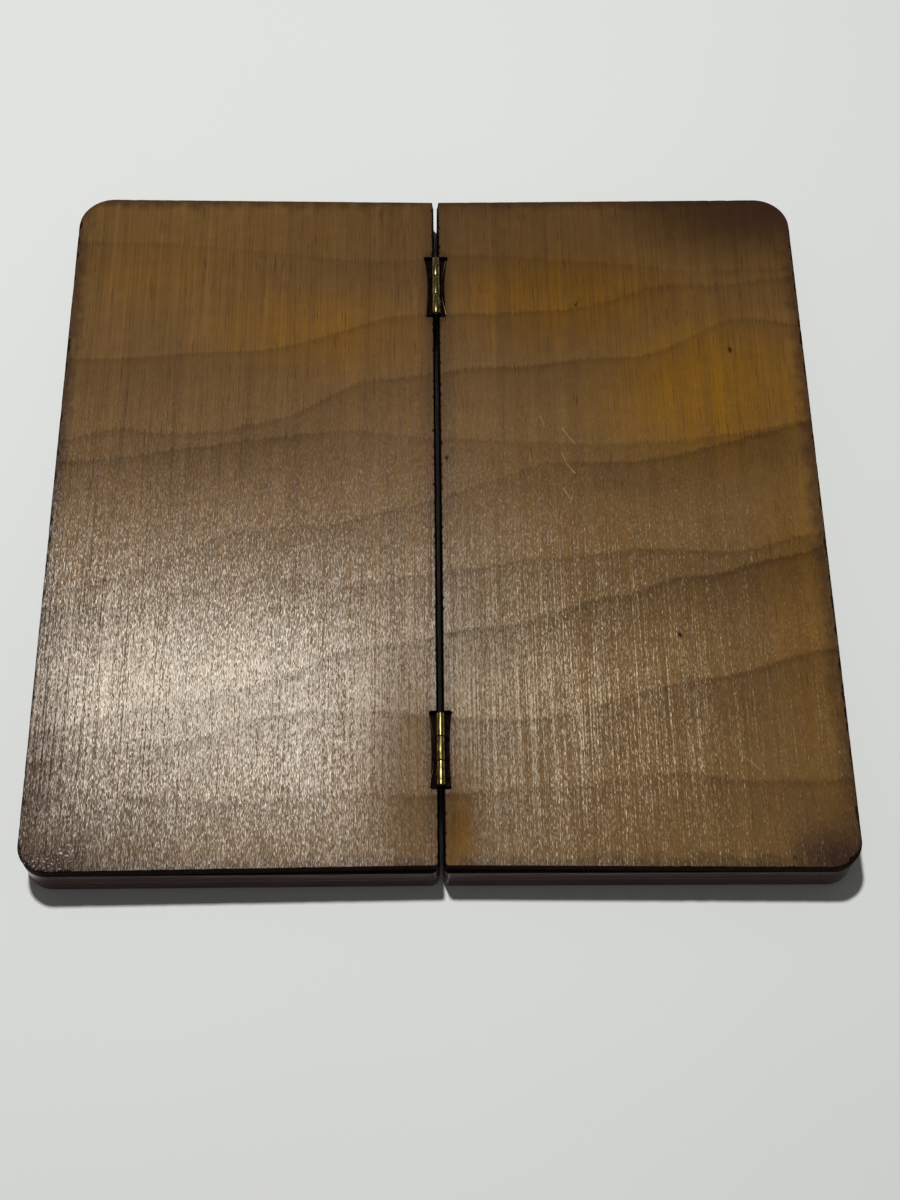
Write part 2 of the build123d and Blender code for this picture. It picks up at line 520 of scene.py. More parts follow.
        clouds = add_node(tree, "MapRange", self.come_and_go.over(cloud))
        total = add_node(tree, "Math", {0: total, 1: clouds}, operation="MULTIPLY")
        return add_node(tree, "Math", {0: total, 1: self.wash_limit}, operation="MINIMUM")

    def edge_distance(self, tree: Tree, place: Node) -> tuple[Node, Node]:
        """Adds the distance in from the leaf's outline, with round outer corners.

        Args:
            tree: The node tree.
            place: The node that gives the place in millimetres.

        Returns:
            The nodes that give the distance from the three outer edges, and from the fold edge.
        """
        folded = add_node(tree, "VectorMath", {0: place}, operation="ABSOLUTE")
        corner = (self.outer_mm[0] - self.corner_mm, self.outer_mm[1] - self.corner_mm, self.above_all_mm)
        past = add_node(tree, "VectorMath", {0: folded, 1: corner}, operation="SUBTRACT")
        outside = add_node(tree, "VectorMath", {0: past, 1: (0, 0, 0)}, operation="MAXIMUM")
        reach = add_node(tree, "VectorMath", {0: outside}, operation="LENGTH")
        parts = add_node(tree, "SeparateXYZ", {0: past})
        inner = add_node(tree, "Math", {0: parts.outputs["X"], 1: parts.outputs["Y"]}, operation="MAXIMUM")
        inner = add_node(tree, "Math", {0: inner, 1: 0.0}, operation="MINIMUM")
        both = add_node(tree, "Math", {0: reach, 1: inner})
        outer = add_node(tree, "Math", {0: self.corner_mm, 1: both}, operation="SUBTRACT")
        across = add_node(tree, "SeparateXYZ", {0: folded}).outputs["X"]
        return outer, add_node(tree, "Math", {0: across, 1: self.fold_mm}, operation="SUBTRACT")

    def notch_distance(self, tree: Tree, place: Node) -> Node:
        """Adds the distance from the line of either hinge's knuckles.

        Args:
            tree: The node tree.
            place: The node that gives the place in millimetres.

        Returns:
            The node that gives the distance in millimetres.
        """
        folded = add_node(tree, "VectorMath", {0: place}, operation="ABSOLUTE")
        off = add_node(tree, "VectorMath", {0: folded, 1: (0, self.hinge_y_mm, 0)}, operation="SUBTRACT")
        off = add_node(tree, "VectorMath", {0: off}, operation="ABSOLUTE")
        ends = (0, self.notch_half_mm, self.above_all_mm)
        past = add_node(tree, "VectorMath", {0: off, 1: ends}, operation="SUBTRACT")
        past = add_node(tree, "VectorMath", {0: past, 1: (0, 0, 0)}, operation="MAXIMUM")
        return add_node(tree, "VectorMath", {0: past}, operation="LENGTH")

    def burn_masks(self, tree: Tree, place: Node, mottle: Node) -> tuple[Node, Node]:
        """Adds the scorched arrises and the stain beside the edges and round the notches.

        Args:
            tree: The node tree.
            place: The node that gives the place in millimetres.
            mottle: The noise that makes the edges ragged.

        Returns:
            The nodes that give the scorch and the softer stain.
        """
        outer, fold = self.edge_distance(tree, place)
        parts = add_node(tree, "SeparateXYZ", {0: place})
        leaf = add_node(tree, "Math", {0: parts.outputs["X"]}, operation="SIGN")
        leaf = add_node(tree, "Math", {0: leaf, 1: self.leaves_apart}, operation="MULTIPLY")
        along = {0: parts.outputs["Y"], 1: 1 / self.bite_mm, 2: leaf}
        along = add_node(tree, "Math", along, operation="MULTIPLY_ADD")
        bites = {"W": along, "Scale": 1.0, "Detail": 2.0, "Roughness": 0.5}
        bites = add_node(tree, "TexNoise", bites, noise_dimensions="1D")
        bite = add_node(tree, "MapRange", self.bite.over(bites))
        fold_in = add_node(tree, "Math", {0: fold, 1: bite}, operation="SUBTRACT")
        nick = add_node(tree, "MapRange", self.nick.over(mottle))
        outer_in = add_node(tree, "Math", {0: outer, 1: nick}, operation="SUBTRACT")
        nearest = add_node(tree, "Math", {0: fold_in, 1: outer_in}, operation="MINIMUM")
        char = add_node(tree, "MapRange", self.char.over(nearest))
        wander = {0: mottle, 1: self.rim_wander_mm, 2: -self.rim_wander_mm / 2}
        wander = add_node(tree, "Math", wander, operation="MULTIPLY_ADD")
        inward = add_node(tree, "Math", {0: outer, 1: wander})
        halo = add_node(tree, "MapRange", self.halo.over(self.notch_distance(tree, place)), **SMOOTH)
        rim = add_node(tree, "MapRange", self.rim.over(inward), **SMOOTH)
        by_fold = add_node(tree, "MapRange", self.by_fold.over(fold), **SMOOTH)
        return char, combine(tree, [halo, rim, by_fold], "MAXIMUM")

    def scratch_mask(self, tree: Tree, place: Node) -> Node:
        """Adds the scratches.

        Args:
            tree: The node tree.
            place: The node that gives the place in millimetres.

        Returns:
            The node that gives 1 on a scratch and 0 away from it.
        """
        cuts = []
        for x0, y0, x1, y1 in self.scratches:
            run = Vector((x1 - x0, y1 - y0, 0))
            off = add_node(tree, "VectorMath", {0: place, 1: (x0, y0, 0)}, operation="SUBTRACT")
            off = add_node(tree, "VectorMath", {0: off, 1: (1, 1, 0)}, operation="MULTIPLY")
            share = {0: off, 1: run / run.length_squared}
            share = add_node(tree, "VectorMath", share, operation="DOT_PRODUCT")
            share = add_node(tree, "Clamp", {"Value": share})
            foot = add_node(tree, "VectorMath", {0: run, "Scale": share}, operation="SCALE")
            gap = add_node(tree, "VectorMath", {0: off, 1: foot}, operation="DISTANCE")
            cuts.append(add_node(tree, "MapRange", self.scratch_edge.over(gap)))
        return combine(tree, cuts, "MAXIMUM")

    def pale_marks(self, tree: Tree, place: Node) -> Node:
        """Adds the broken ring mark and the chipped lacquer beside it.

        Args:
            tree: The node tree.
            place: The node that gives the place in millimetres.

        Returns:
            The node that gives the mask.
        """
        x, y, radius = self.ring
        flat = add_node(tree, "VectorMath", {0: place, 1: (1, 1, 0)}, operation="MULTIPLY")
        off = add_node(tree, "VectorMath", {0: flat, 1: (x, y, 0)}, operation="DISTANCE")
        off = add_node(tree, "Math", {0: off, 1: radius}, operation="SUBTRACT")
        off = add_node(tree, "Math", {0: off}, operation="ABSOLUTE")
        ring = add_node(tree, "MapRange", self.ring_edge.over(off))
        crumbs = grains(tree, place, (self.crumb_mm,) * 3, Detail=3.0, Roughness=0.6)
        broken = add_node(tree, "MapRange", self.broken.over(crumbs))
        ring = add_node(tree, "Math", {0: ring, 1: broken}, operation="MULTIPLY")
        chips = add_node(tree, "MapRange", self.chipped.over(crumbs))
        flecks = self.pools_mask(tree, place, self.flecks)
        chips = add_node(tree, "Math", {0: chips, 1: flecks}, operation="MULTIPLY")
        return add_node(tree, "Math", {0: ring, 1: chips}, operation="MAXIMUM")

    def lean(self, tree: Tree, place: Node, fibre: Node) -> Node:
        """Adds the way that the lacquered fibres and their facets lean.

        Args:
            tree: The node tree.
            place: The node that gives the place in millimetres.
            fibre: The noise that tells one fibre from the next.

        Returns:
            The node that gives the leaning normal.
        """
        across, along = self.facet_mm
        drawn = {0: place, 1: (1 / across, 1 / along, 0)}
        drawn = add_node(tree, "VectorMath", drawn, operation="MULTIPLY")
        facets = add_node(tree, "TexVoronoi", {"Vector": drawn, "Scale": 1.0}, voronoi_dimensions="2D")
        facets = {0: facets.outputs["Color"], 1: (0.5, 0.5, 0.5)}
        facets = add_node(tree, "VectorMath", facets, operation="SUBTRACT")
        facets = add_node(tree, "VectorMath", {0: facets, 1: (*self.facet_lean, 0)}, operation="MULTIPLY")
        fibre = {0: fibre, 1: self.fibre_lean, 2: -self.fibre_lean / 2}
        fibre = add_node(tree, "Math", fibre, operation="MULTIPLY_ADD")
        fibre = add_node(tree, "CombineXYZ", {"X": fibre})
        total = add_node(tree, "VectorMath", {0: facets, 1: fibre}, operation="ADD")
        total = add_node(tree, "VectorMath", {0: total, 1: (*self.dip, 0)}, operation="ADD")
        total = add_node(tree, "VectorTransform", {0: total}, **TO_WORLD)
        upright = add_node(tree, "NewGeometry").outputs["Normal"]
        total = add_node(tree, "VectorMath", {0: upright, 1: total}, operation="ADD")
        return add_node(tree, "VectorMath", {0: total}, operation="NORMALIZE")

    def gloss(self, tree: Tree, across: bpy.types.NodeSocket) -> Node:
        """Adds the lacquer's roughness: duller beside the fold and on the right leaf.

        Args:
            tree: The node tree.
            across: The socket that gives the distance across the fold, in millimetres.

        Returns:
            The node that gives the roughness.
        """
        off_fold = add_node(tree, "Math", {0: across}, operation="ABSOLUTE")
        by_fold = Ramp(*self.rough_by_fold_mm, self.roughness + self.rough_at_fold, self.roughness)
        by_fold = add_node(tree, "MapRange", by_fold.over(off_fold), **SMOOTH)
        on_right = add_node(tree, "MapRange", Ramp(-1.0, 1.0, 0.0, self.rough_on_right).over(across))
        return add_node(tree, "Math", {0: by_fold, 1: on_right})

    def surface(self, tree: Tree, place: Node) -> dict:
        """Adds the stains, the scorch, the fine damage and the lacquer.

        Args:
            tree: The node tree.
            place: The node that gives the place in millimetres.

        Returns:
            The Principled shader's sockets.
        """
        noises = {
            "fibre": grains(tree, place, self.fibre_mm, Detail=4.0, Roughness=0.6),
            "streak": grains(tree, place, self.streak_mm, Detail=3.0, Roughness=0.6),
            "pore": grains(tree, place, self.pore_mm, Detail=1.0, Roughness=0.6),
            "mottle": grains(tree, place, (self.mottle_mm,) * 3, Detail=5.0),
            "cloud": grains(tree, place, (self.cloud_mm,) * 3, Detail=3.0),
        }
        bleed = {0: noises["fibre"], 1: self.bleed_mm, 2: -self.bleed_mm / 2}
        bleed = add_node(tree, "Math", bleed, operation="MULTIPLY_ADD")
        shift = add_node(tree, "CombineXYZ", {"Y": bleed})
        bled = add_node(tree, "VectorMath", {0: place, 1: shift}, operation="ADD")
        pools = {
            name: self.pools_mask(tree, bled, getattr(self, name))
            for name in ("warm_pools", "dark_pools", "bruises", "specks", "dull_pools")
        }
        wash = self.wash_mask(tree, bled, noises["cloud"])
        patchy = add_node(tree, "MapRange", self.patchy.over(noises["streak"]))
        warm = add_node(tree, "Math", {0: pools["warm_pools"], 1: patchy}, operation="MULTIPLY")
        warm = add_node(tree, "Clamp", {"Value": warm})
        colour = lay_colours(tree, linear(self.brown), [
            (noises["cloud"], self.grey_brown), (warm, self.amber), (wash, self.umber),
            (pools["dark_pools"], self.umber),
        ])
        tones = [add_node(tree, "MapRange", tone.over(noises[name])) for name, tone in self.tones]
        tone = combine(tree, tones, "MULTIPLY")
        colour = add_node(tree, "VectorMath", {0: colour, "Scale": tone}, operation="SCALE")
        char, stain = self.burn_masks(tree, place, noises["mottle"])
        stain = add_node(tree, "Math", {0: stain, 1: pools["bruises"]}, operation="MAXIMUM")
        char = add_node(tree, "Math", {0: char, 1: pools["specks"]}, operation="MAXIMUM")
        scratch = self.scratch_mask(tree, place)
        marks = self.pale_marks(tree, place)
        bare = add_node(tree, "Math", {0: scratch, 1: self.scratch_pale}, operation="MULTIPLY")
        bare = add_node(tree, "Math", {0: marks, 1: self.mark_pale, 2: bare}, operation="MULTIPLY_ADD")
        colour = lay_colours(tree, colour, [(stain, self.bruise), (char, self.scorch), (bare, self.pale)])
        sunk = add_node(tree, "Math", {0: scratch, 1: -self.scratch_mm}, operation="MULTIPLY")
        height = add_node(tree, "Math", {0: marks, 1: self.mark_mm, 2: sunk}, operation="MULTIPLY_ADD")
        leaning = self.lean(tree, place, noises["fibre"])
        bump = add_node(tree, "Bump", {"Strength": 1.0, "Distance": MM, "Height": height, "Normal": leaning})
        dull = {0: wash, 1: self.wash_dulls, 2: pools["dull_pools"]}
        dull = add_node(tree, "Math", dull, operation="MULTIPLY_ADD")
        dull = add_node(tree, "Math", {0: dull, 1: char}, operation="MAXIMUM")
        across = add_node(tree, "SeparateXYZ", {0: place}).outputs["X"]
        yellow = add_node(tree, "MapRange", self.yellowing.over(across), **SMOOTH)
        return {
            "Base Color": colour,
            "Roughness": self.gloss(tree, across),
            "Specular IOR Level": add_node(
                tree, "MapRange", Ramp(0.0, 1.0, self.specular, self.dull_specular).over(dull),
            ),
            "Specular Tint": lay_colours(tree, linear(self.lacquer_left), [(yellow, self.lacquer_right)]),
            "Anisotropic": self.anisotropic,
            "Tangent": add_node(tree, "VectorTransform", {0: (1, 0, 0)}, **TO_WORLD),
            "Normal": bump,
        }


@dataclass(frozen=True)
class ScorchedEdge(Finish):
    """Plywood cut with a hot beam: nearly black, dull and crumbly, with a few brown grains."""

    name: str = "scorched_edge"
    soot: str = "#070202"
    brown: str = "#1D0B07"
    grit_mm: float = 0.5
    streak_mm: Sizes = (5 / 3, 5 / 3, 25 / 3)
    browning: Ramp = Ramp(0.18, 0.45)
    relief_mm: float = 0.14
    roughness: float = 0.62
    specular: float = 0.02

    def surface(self, tree: Tree, place: Node) -> dict:
        """Adds the soot, the grains and the crumbly relief.

        Args:
            tree: The node tree.
            place: The node that gives the place in millimetres.

        Returns:
            The Principled shader's sockets.
        """
        grit = grains(tree, place, (self.grit_mm,) * 3, Detail=5.0, Roughness=0.7)
        streak = grains(tree, place, self.streak_mm, Detail=4.0)
        grain = add_node(tree, "Math", {0: grit, 1: streak}, operation="MULTIPLY")
        grain = add_node(tree, "MapRange", self.browning.over(grain))
        relief = {"Strength": 1.0, "Distance": self.relief_mm * MM, "Height": grit}
        return {
            "Base Color": lay_colours(tree, linear(self.soot), [(grain, self.brown)]),
            "Roughness": self.roughness,
            "Specular IOR Level": self.specular,
            "Normal": add_node(tree, "Bump", relief),
        }


@dataclass(frozen=True)
class LacqueredEdge(Finish):
    """Board edge stained a dark red brown under glossy lacquer, with thin plies that run round it.

    The gloss mirrors the lit table in the upper part of the edge, as a soft paler band.
    """

    name: str = "lacquered_edge"
    light: str = "#45231A"
    dark: str = "#220F0C"
    ply_mm: Sizes = (30.0, 30.0, 0.9)
    fine_mm: Sizes = (5.0, 5.0, 0.22)
    swell_mm: Sizes = (14.0, 14.0, 3.0)
    tone: Ramp = Ramp(0.75, 1.25)
    swell_share: float = 8.0
    relief_mm: float = 0.02
    roughness: float = 0.2
    specular: float = 0.3

    def surface(self, tree: Tree, place: Node) -> dict:
        """Adds the plies and the lacquer's slow swell.

        Args:
            tree: The node tree.
            place: The node that gives the place in millimetres.

        Returns:
            The Principled shader's sockets.
        """
        ply = grains(tree, place, self.ply_mm, Detail=3.0, Roughness=0.55)
        fine = grains(tree, place, self.fine_mm, Detail=3.0, Roughness=0.6)
        swell = grains(tree, place, self.swell_mm, Detail=2.0)
        tone = add_node(tree, "Math", {0: ply, 1: fine}, operation="ADD")
        tone = add_node(tree, "MapRange", self.tone.over(tone))
        height = add_node(tree, "Math", {0: swell, 1: self.swell_share, 2: fine}, operation="MULTIPLY_ADD")
        relief = {"Strength": 1.0, "Distance": self.relief_mm * MM, "Height": height}
        return {
            "Base Color": lay_colours(tree, linear(self.dark), [(tone, self.light)]),
            "Roughness": self.roughness,
            "Specular IOR Level": self.specular,
            "Normal": add_node(tree, "Bump", relief),
        }


@dataclass(frozen=True)
class SquareVeneer(Finish):
    """Inlaid veneer square under satin lacquer, with its own tone and grain from square to square."""

    name: str
    light: str
    dark: str
    square_mm: float = 20.0
    jump_mm: float = 90.0
    grain_mm: Sizes = (0.9, 26.0, 5.0)
    pore_mm: Sizes = (0.25, 4.0, 5.0)
    tone: Ramp = Ramp(0.32, 0.68)
    pores: Ramp = Ramp(0.60, 0.72, 0.0, 0.5)
    own_tone: Ramp = Ramp(0.0, 1.0, 0.86, 1.12)
    relief_mm: float = 0.02
    roughness: float = 0.36

    def surface(self, tree: Tree, place: Node) -> dict:
        """Adds the grain and pores, moved and toned afresh on each square.

        Args:
            tree: The node tree.
            place: The node that gives the place in millimetres.

        Returns:
            The Principled shader's sockets.
        """
        pitch = (1 / self.square_mm, 1 / self.square_mm, 0)
        cell = add_node(tree, "VectorMath", {0: place, 1: pitch}, operation="MULTIPLY")
        cell = add_node(tree, "VectorMath", {0: cell}, operation="FLOOR")
        own = add_node(tree, "TexWhiteNoise", {"Vector": cell}, noise_dimensions="3D")
        jump = {0: own.outputs["Color"], "Scale": self.jump_mm}
        jump = add_node(tree, "VectorMath", jump, operation="SCALE")
        moved = add_node(tree, "VectorMath", {0: place, 1: jump}, operation="ADD")
        grain = grains(tree, moved, self.grain_mm, Detail=5.0, Roughness=0.6, Distortion=0.25)
        pore = grains(tree, moved, self.pore_mm, Detail=2.0)
        tone = add_node(tree, "MapRange", self.tone.over(grain))
        pores = add_node(tree, "MapRange", self.pores.over(pore))
        colour = lay_colours(tree, linear(self.dark), [(tone, self.light), (pores, self.dark)])
        own_tone = add_node(tree, "MapRange", self.own_tone.over(own.outputs["Value"]))
        relief = {"Strength": 1.0, "Distance": self.relief_mm * MM, "Height": pore}
        return {
            "Base Color": add_node(tree, "VectorMath", {0: colour, "Scale": own_tone}, operation="SCALE"),
            "Roughness": self.roughness,
            "IOR": 1.5,
            "Normal": add_node(tree, "Bump", relief),
        }


@dataclass(frozen=True)
class AgedBrass(Finish):
    """Rolled sheet brass, with blotches of tarnish and fine lines along the roll."""

    name: str
    bright: str
    tarnish: str
    roughness: float
    tarnish_roughness: float = 0.15
    blotch_mm: float = 1.6
    line_mm: Sizes = (0.12, 2.5, 0.12)
    wear: Ramp = Ramp(0.35, 0.62)
    relief_mm: float = 0.008

    def surface(self, tree: Tree, place: Node) -> dict:
        """Adds the blotches and the lines.

        Args:
            tree: The node tree.
            place: The node that gives the place in millimetres.

        Returns:
            The Principled shader's sockets.
        """
        blotch = grains(tree, place, (self.blotch_mm,) * 3, Detail=5.0, Roughness=0.65)
        line = grains(tree, place, self.line_mm, Detail=3.0)
        worn = add_node(tree, "MapRange", self.wear.over(blotch))
        gloss = Ramp(0.0, 1.0, self.roughness + self.tarnish_roughness, self.roughness)
        relief = {"Strength": 1.0, "Distance": self.relief_mm * MM, "Height": line}
        return {
            "Base Color": lay_colours(tree, linear(self.tarnish), [(worn, self.bright)]),
            "Metallic": 1.0,
            "Roughness": add_node(tree, "MapRange", gloss.over(worn)),
            "Normal": add_node(tree, "Bump", relief),
        }


@dataclass(frozen=True)
class PlainSteel(Finish):
    """Drawn wire or plated steel: grey metal with fine lines along the draw."""

    name: str
    colour: str
    roughness: float
    line_mm: Sizes = (0.1, 3.0, 0.1)
    tone: Ramp = Ramp(0.3, 0.7, 0.8, 1.1)
    relief_mm: float = 0.005

    def surface(self, tree: Tree, place: Node) -> dict:
        """Adds the lines.

        Args:
            tree: The node tree.
            place: The node that gives the place in millimetres.

        Returns:
            The Principled shader's sockets.
        """
        line = grains(tree, place, self.line_mm, Detail=3.0)
        colour = {0: linear(self.colour)[:3], "Scale": add_node(tree, "MapRange", self.tone.over(line))}
        relief = {"Strength": 1.0, "Distance": self.relief_mm * MM, "Height": line}
        return {
            "Base Color": add_node(tree, "VectorMath", colour, operation="SCALE"),
            "Metallic": 1.0,
            "Roughness": self.roughness,
            "Normal": add_node(tree, "Bump", relief),
        }


@dataclass(frozen=True)
class TableTop(Finish):
    """Smooth off-white melamine board: even, with a faint soft mottle."""

    name: str = "table_top"
    colour: str = "#DADCD9"
    cloud_mm: float = 1000 / 6
    tone: Ramp = Ramp(0.0, 1.0, 0.97, 1.03)
    roughness: float = 0.6
    specular: float = 0.2

    def surface(self, tree: Tree, place: Node) -> dict:
        """Adds the mottle.

        Args:
            tree: The node tree.
            place: The node that gives the place in millimetres.

        Returns:
            The Principled shader's sockets.
        """
        cloud = grains(tree, place, (self.cloud_mm,) * 3, Detail=2.0)
        colour = {0: linear(self.colour)[:3], "Scale": add_node(tree, "MapRange", self.tone.over(cloud))}
        return {
            "Base Color": add_node(tree, "VectorMath", colour, operation="SCALE"),
            "Roughness": self.roughness,
            "Specular IOR Level": self.specular,
        }


@dataclass(frozen=True)
class Notch:
    """The waisted notch that one hinge's knuckles sit in, on either leaf."""

    length: float
    far_half: float
    waist_half: float
    near_half: float

    def half_width(self, share: float) -> float:
        """How far the notch reaches from the fold line.

        Args:
            share: -1 at the near end, 1 at the far end.

        Returns:
            The half width, in metres.
        """
        end = self.far_half if share > 0 else self.near_half
        return self.waist_half + (end - self.waist_half) * share * share


NOTCHES = {
    HingePlace.FAR: Notch(18 * MM, 3.0 * MM, 2.05 * MM, 2.45 * MM),
    HingePlace.NEAR: Notch(18 * MM, 2.5 * MM, 1.95 * MM, 2.2 * MM),
}


def hinge_middle(place: HingePlace) -> Vector:
    """The middle of one hinge's pin.

    Args:
        place: The hinge.

    Returns:
        The point, in metres.
    """
    low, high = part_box(f"{place.value}_hinge_pin")
    return (Vector(low) + Vector(high)) / 2


@dataclass
class FaceVeneer:
    """The stained face of one leaf, with hand-cut notches and scorched arrises."""

    side: Side
    half_length: float = 88 * MM
    end_slant: float = 1.0 * MM
    far_radius: float = 8.5 * MM
    near_radius: float = 6.0 * MM
    inner_radius: float = 0.7 * MM
    notch_radius: float = 0.45 * MM
    arris: float = 0.15 * MM
    smooth_deg: float = 40.0
    # The least that a face points up or down to get the stained finish
    shown_normal: float = 0.75

    # The saw's wobble along the outer edges, in a slow and a fast wave, and where those edges are
    saw_wobble: float = 0.10 * MM
    saw_waves: tuple[float, float] = (2.2 * MM, 0.9 * MM)
    edge_step: float = 1.2 * MM
    side_from: float = 80 * MM
    end_from: float = 79 * MM

    # The knife's wobble along the notches, its row of the noise, and where the notches are
    knife_wobble: float = 0.08 * MM
    knife_wave: float = 1.1 * MM
    knife_row: tuple[float, float] = (7.3, 2.0)
    notch_zone: tuple[float, float] = (1.2 * MM, 4 * MM)
    notch_cuts: int = 35
    notch_share: float = 0.97

    # The burr along the notches
    lip_height: float = 0.05 * MM
    lip_width: float = 0.35 * MM
    lip_off: float = 0.02 * MM
    lip_sunk: float = 0.01 * MM
    lip_wall: float = 0.03 * MM
    lip_wave: float = 1.3 * MM
    lip_row: tuple[float, float] = (3.1, 5.0)
    lip_low: float = 0.25
    lip_share: float = 0.94
    lip_steps: int = 60
    lip_strips: int = 6

    @property
    def node(self) -> str:
        """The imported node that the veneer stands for."""
        return f"{self.side.word}_face_veneer"

    def outline(self, bm: bmesh.types.BMesh) -> None:
        """Lays out the leaf and its notches, with round corners.

        Args:
            bm: The mesh that gets the face.
        """
        low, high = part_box(self.node)
        fold, outer = sorted((abs(low[0]), abs(high[0])))
        half_fold = self.half_length - self.end_slant
        points = [
            (fold, -half_fold), (outer, -self.half_length), (outer, self.half_length), (fold, half_fold),
        ]
        radii = [self.inner_radius, self.near_radius, self.far_radius, 0]
        for place in HingePlace:
            notch = NOTCHES[place]
            middle = hinge_middle(place)
            far, near = middle.y + notch.length / 2, middle.y - notch.length / 2
            points += [(fold, far), (notch.far_half, far), (notch.near_half, near), (fold, near)]
            radii += [0, self.notch_radius, self.notch_radius, 0]
        verts = [bm.verts.new((self.side.value * x, y, low[2])) for x, y in points]
        bm.faces.new(verts)
        for vert, radius in zip(verts, radii):
            if radius:
                bmesh.ops.bevel(
                    bm, geom=[vert], offset=radius, segments=4 if radius < MM else 16, profile=0.5,
                    affect="VERTICES", material=-1,
                )

    def roughen_notches(self, bm: bmesh.types.BMesh) -> None:
        """Divides the long notch edges and bends them to the waist, with a knife's wobble.

        Args:
            bm: The flat outline.
        """
        nearest, farthest = self.notch_zone
        across, up = self.knife_row
        for place in HingePlace:
            notch = NOTCHES[place]
            middle = hinge_middle(place)
            long_edges = [
                e for e in bm.edges
                if all(abs(v.co.y - middle.y) < notch.length / 2 for v in e.verts)
                and e.calc_length() > notch.length * 0.8
            ]
            bmesh.ops.subdivide_edges(bm, edges=long_edges, cuts=self.notch_cuts)
            for vert in bm.verts:
                share = (vert.co.y - middle.y) / (notch.length / 2)
                if abs(share) < self.notch_share and nearest < abs(vert.co.x) < farthest:
                    wobble = noise.noise(Vector((across * self.side.value, vert.co.y / self.knife_wave, up)))
                    vert.co.x = self.side.value * (notch.half_width(share) + self.knife_wobble * wobble)

    def divide_edges(self, bm: bmesh.types.BMesh) -> None:
        """Divides the long outer edges and gives them a slight wobble.

        Args:
            bm: The flat outline.
        """
        while long_edges := [e for e in bm.edges if e.calc_length() > self.edge_step]:
            bmesh.ops.subdivide_edges(bm, edges=long_edges, cuts=1)
        slow, fast = self.saw_waves
        for vert in bm.verts:
            wobble = noise.noise(vert.co / slow) + 0.5 * noise.noise(vert.co / fast)
            inward = max(0.0, wobble) * self.saw_wobble
            if abs(vert.co.x) > self.notch_zone[1]:
                vert.co.x -= self.side.value * inward * (abs(vert.co.x) > self.side_from)
                vert.co.y -= math.copysign(inward, vert.co.y) * (abs(vert.co.y) > self.end_from)

    def build(self, face: Material, edge: Material) -> Object:
        """Makes the veneer.

        Args:
            face: The finish of the shown face.
            edge: The finish of its cut edges.

        Returns:
            The piece.
        """
        low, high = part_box(self.node)
        bm = bmesh.new()
        self.outline(bm)
        self.roughen_notches(bm)
        self.divide_edges(bm)
        grown = bmesh.ops.extrude_face_region(bm, geom=bm.faces[:])
        top = [g for g in grown["geom"] if isinstance(g, bmesh.types.BMVert)]
        bmesh.ops.translate(bm, verts=top, vec=(0, 0, high[2] - low[2]))
        bmesh.ops.recalc_face_normals(bm, faces=bm.faces[:])
        rim = [e for e in bm.edges if all(v.co.z > (low[2] + high[2]) / 2 for v in e.verts)]
        bmesh.ops.bevel(bm, geom=rim, offset=self.arris, segments=2, **ROUND_EDGES)
        for part in bm.faces:
            part.material_index = 0 if abs(part.normal.z) > self.shown_normal else 1
        shade_by_angle(bm, self.smooth_deg)
        piece = make_piece(bm, f"{self.side.word}_stained_face", self.side, self.node)
        dress(piece, face, edge)
        return piece

    def lip_swell(self, share: float, y: float) -> float:
        """How high the burr stands: highest near the notch's corners, and nothing at its ends.

        Args:
            share: -1 at the notch's near end, 1 at its far end.
            y: The place along the fold, in metres.

        Returns:
            A share of the burr's full height.
        """
        across, up = self.lip_row
        ragged = 0.5 + 0.5 * noise.noise(Vector((across * self.side.value, y / self.lip_wave, up)))
        run_out = min(1.0, 12 * (self.lip_share + 0.005 - abs(share)))
        return ragged * (self.lip_low + (1 - self.lip_low) * abs(share) ** 3) * run_out

    def build_lip(self, place: HingePlace, finish: Material) -> Object:
        """Makes the burr that stands up along one notch.

        Args:
            place: The hinge.
            finish: The burr's finish.

        Returns:
            The piece.
        """
        notch = NOTCHES[place]
        middle = hinge_middle(place)
        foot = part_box(self.node)[1][2] - self.lip_sunk
        bm = bmesh.new()
        row = [bm.verts.new((0, 0, 0)) for _ in range(self.lip_strips + 1)]
        edges = [bm.edges.new(pair) for pair in zip(row, row[1:])]
        stations = [row]
        for _ in range(self.lip_steps):
            grown = bmesh.ops.extrude_edge_only(bm, edges=edges)["geom"]
            row = [g for g in grown if isinstance(g, bmesh.types.BMVert)]
            edges = [g for g in grown if isinstance(g, bmesh.types.BMEdge) and all(v in row for v in g.verts)]
            stations.append(row)
        for i, station in enumerate(stations):
            share = self.lip_share * (1 - 2 * i / self.lip_steps)
            y = middle.y + share * notch.length / 2
            height = self.lip_height * self.lip_swell(share, y)
            for j, vert in enumerate(station):
                angle = math.pi * j / self.lip_strips
                x = notch.half_width(share) + self.lip_width * (0.5 - 0.5 * math.cos(angle)) + self.lip_off
                vert.co = (self.side.value * x, y, foot + height * math.sin(angle))
        bmesh.ops.recalc_face_normals(bm, faces=bm.faces[:])
        if sum(f.normal.z for f in bm.faces) < 0:
            bmesh.ops.reverse_faces(bm, faces=bm.faces[:])
        bmesh.ops.solidify(bm, geom=bm.faces[:], thickness=self.lip_wall)
        for part in bm.faces:
            part.smooth = True
        name = f"{place.value}_hinge_{self.side.word}_notch_lip"
        piece = make_piece(bm, name, self.side, None)
        dress(piece, finish)
        return piece


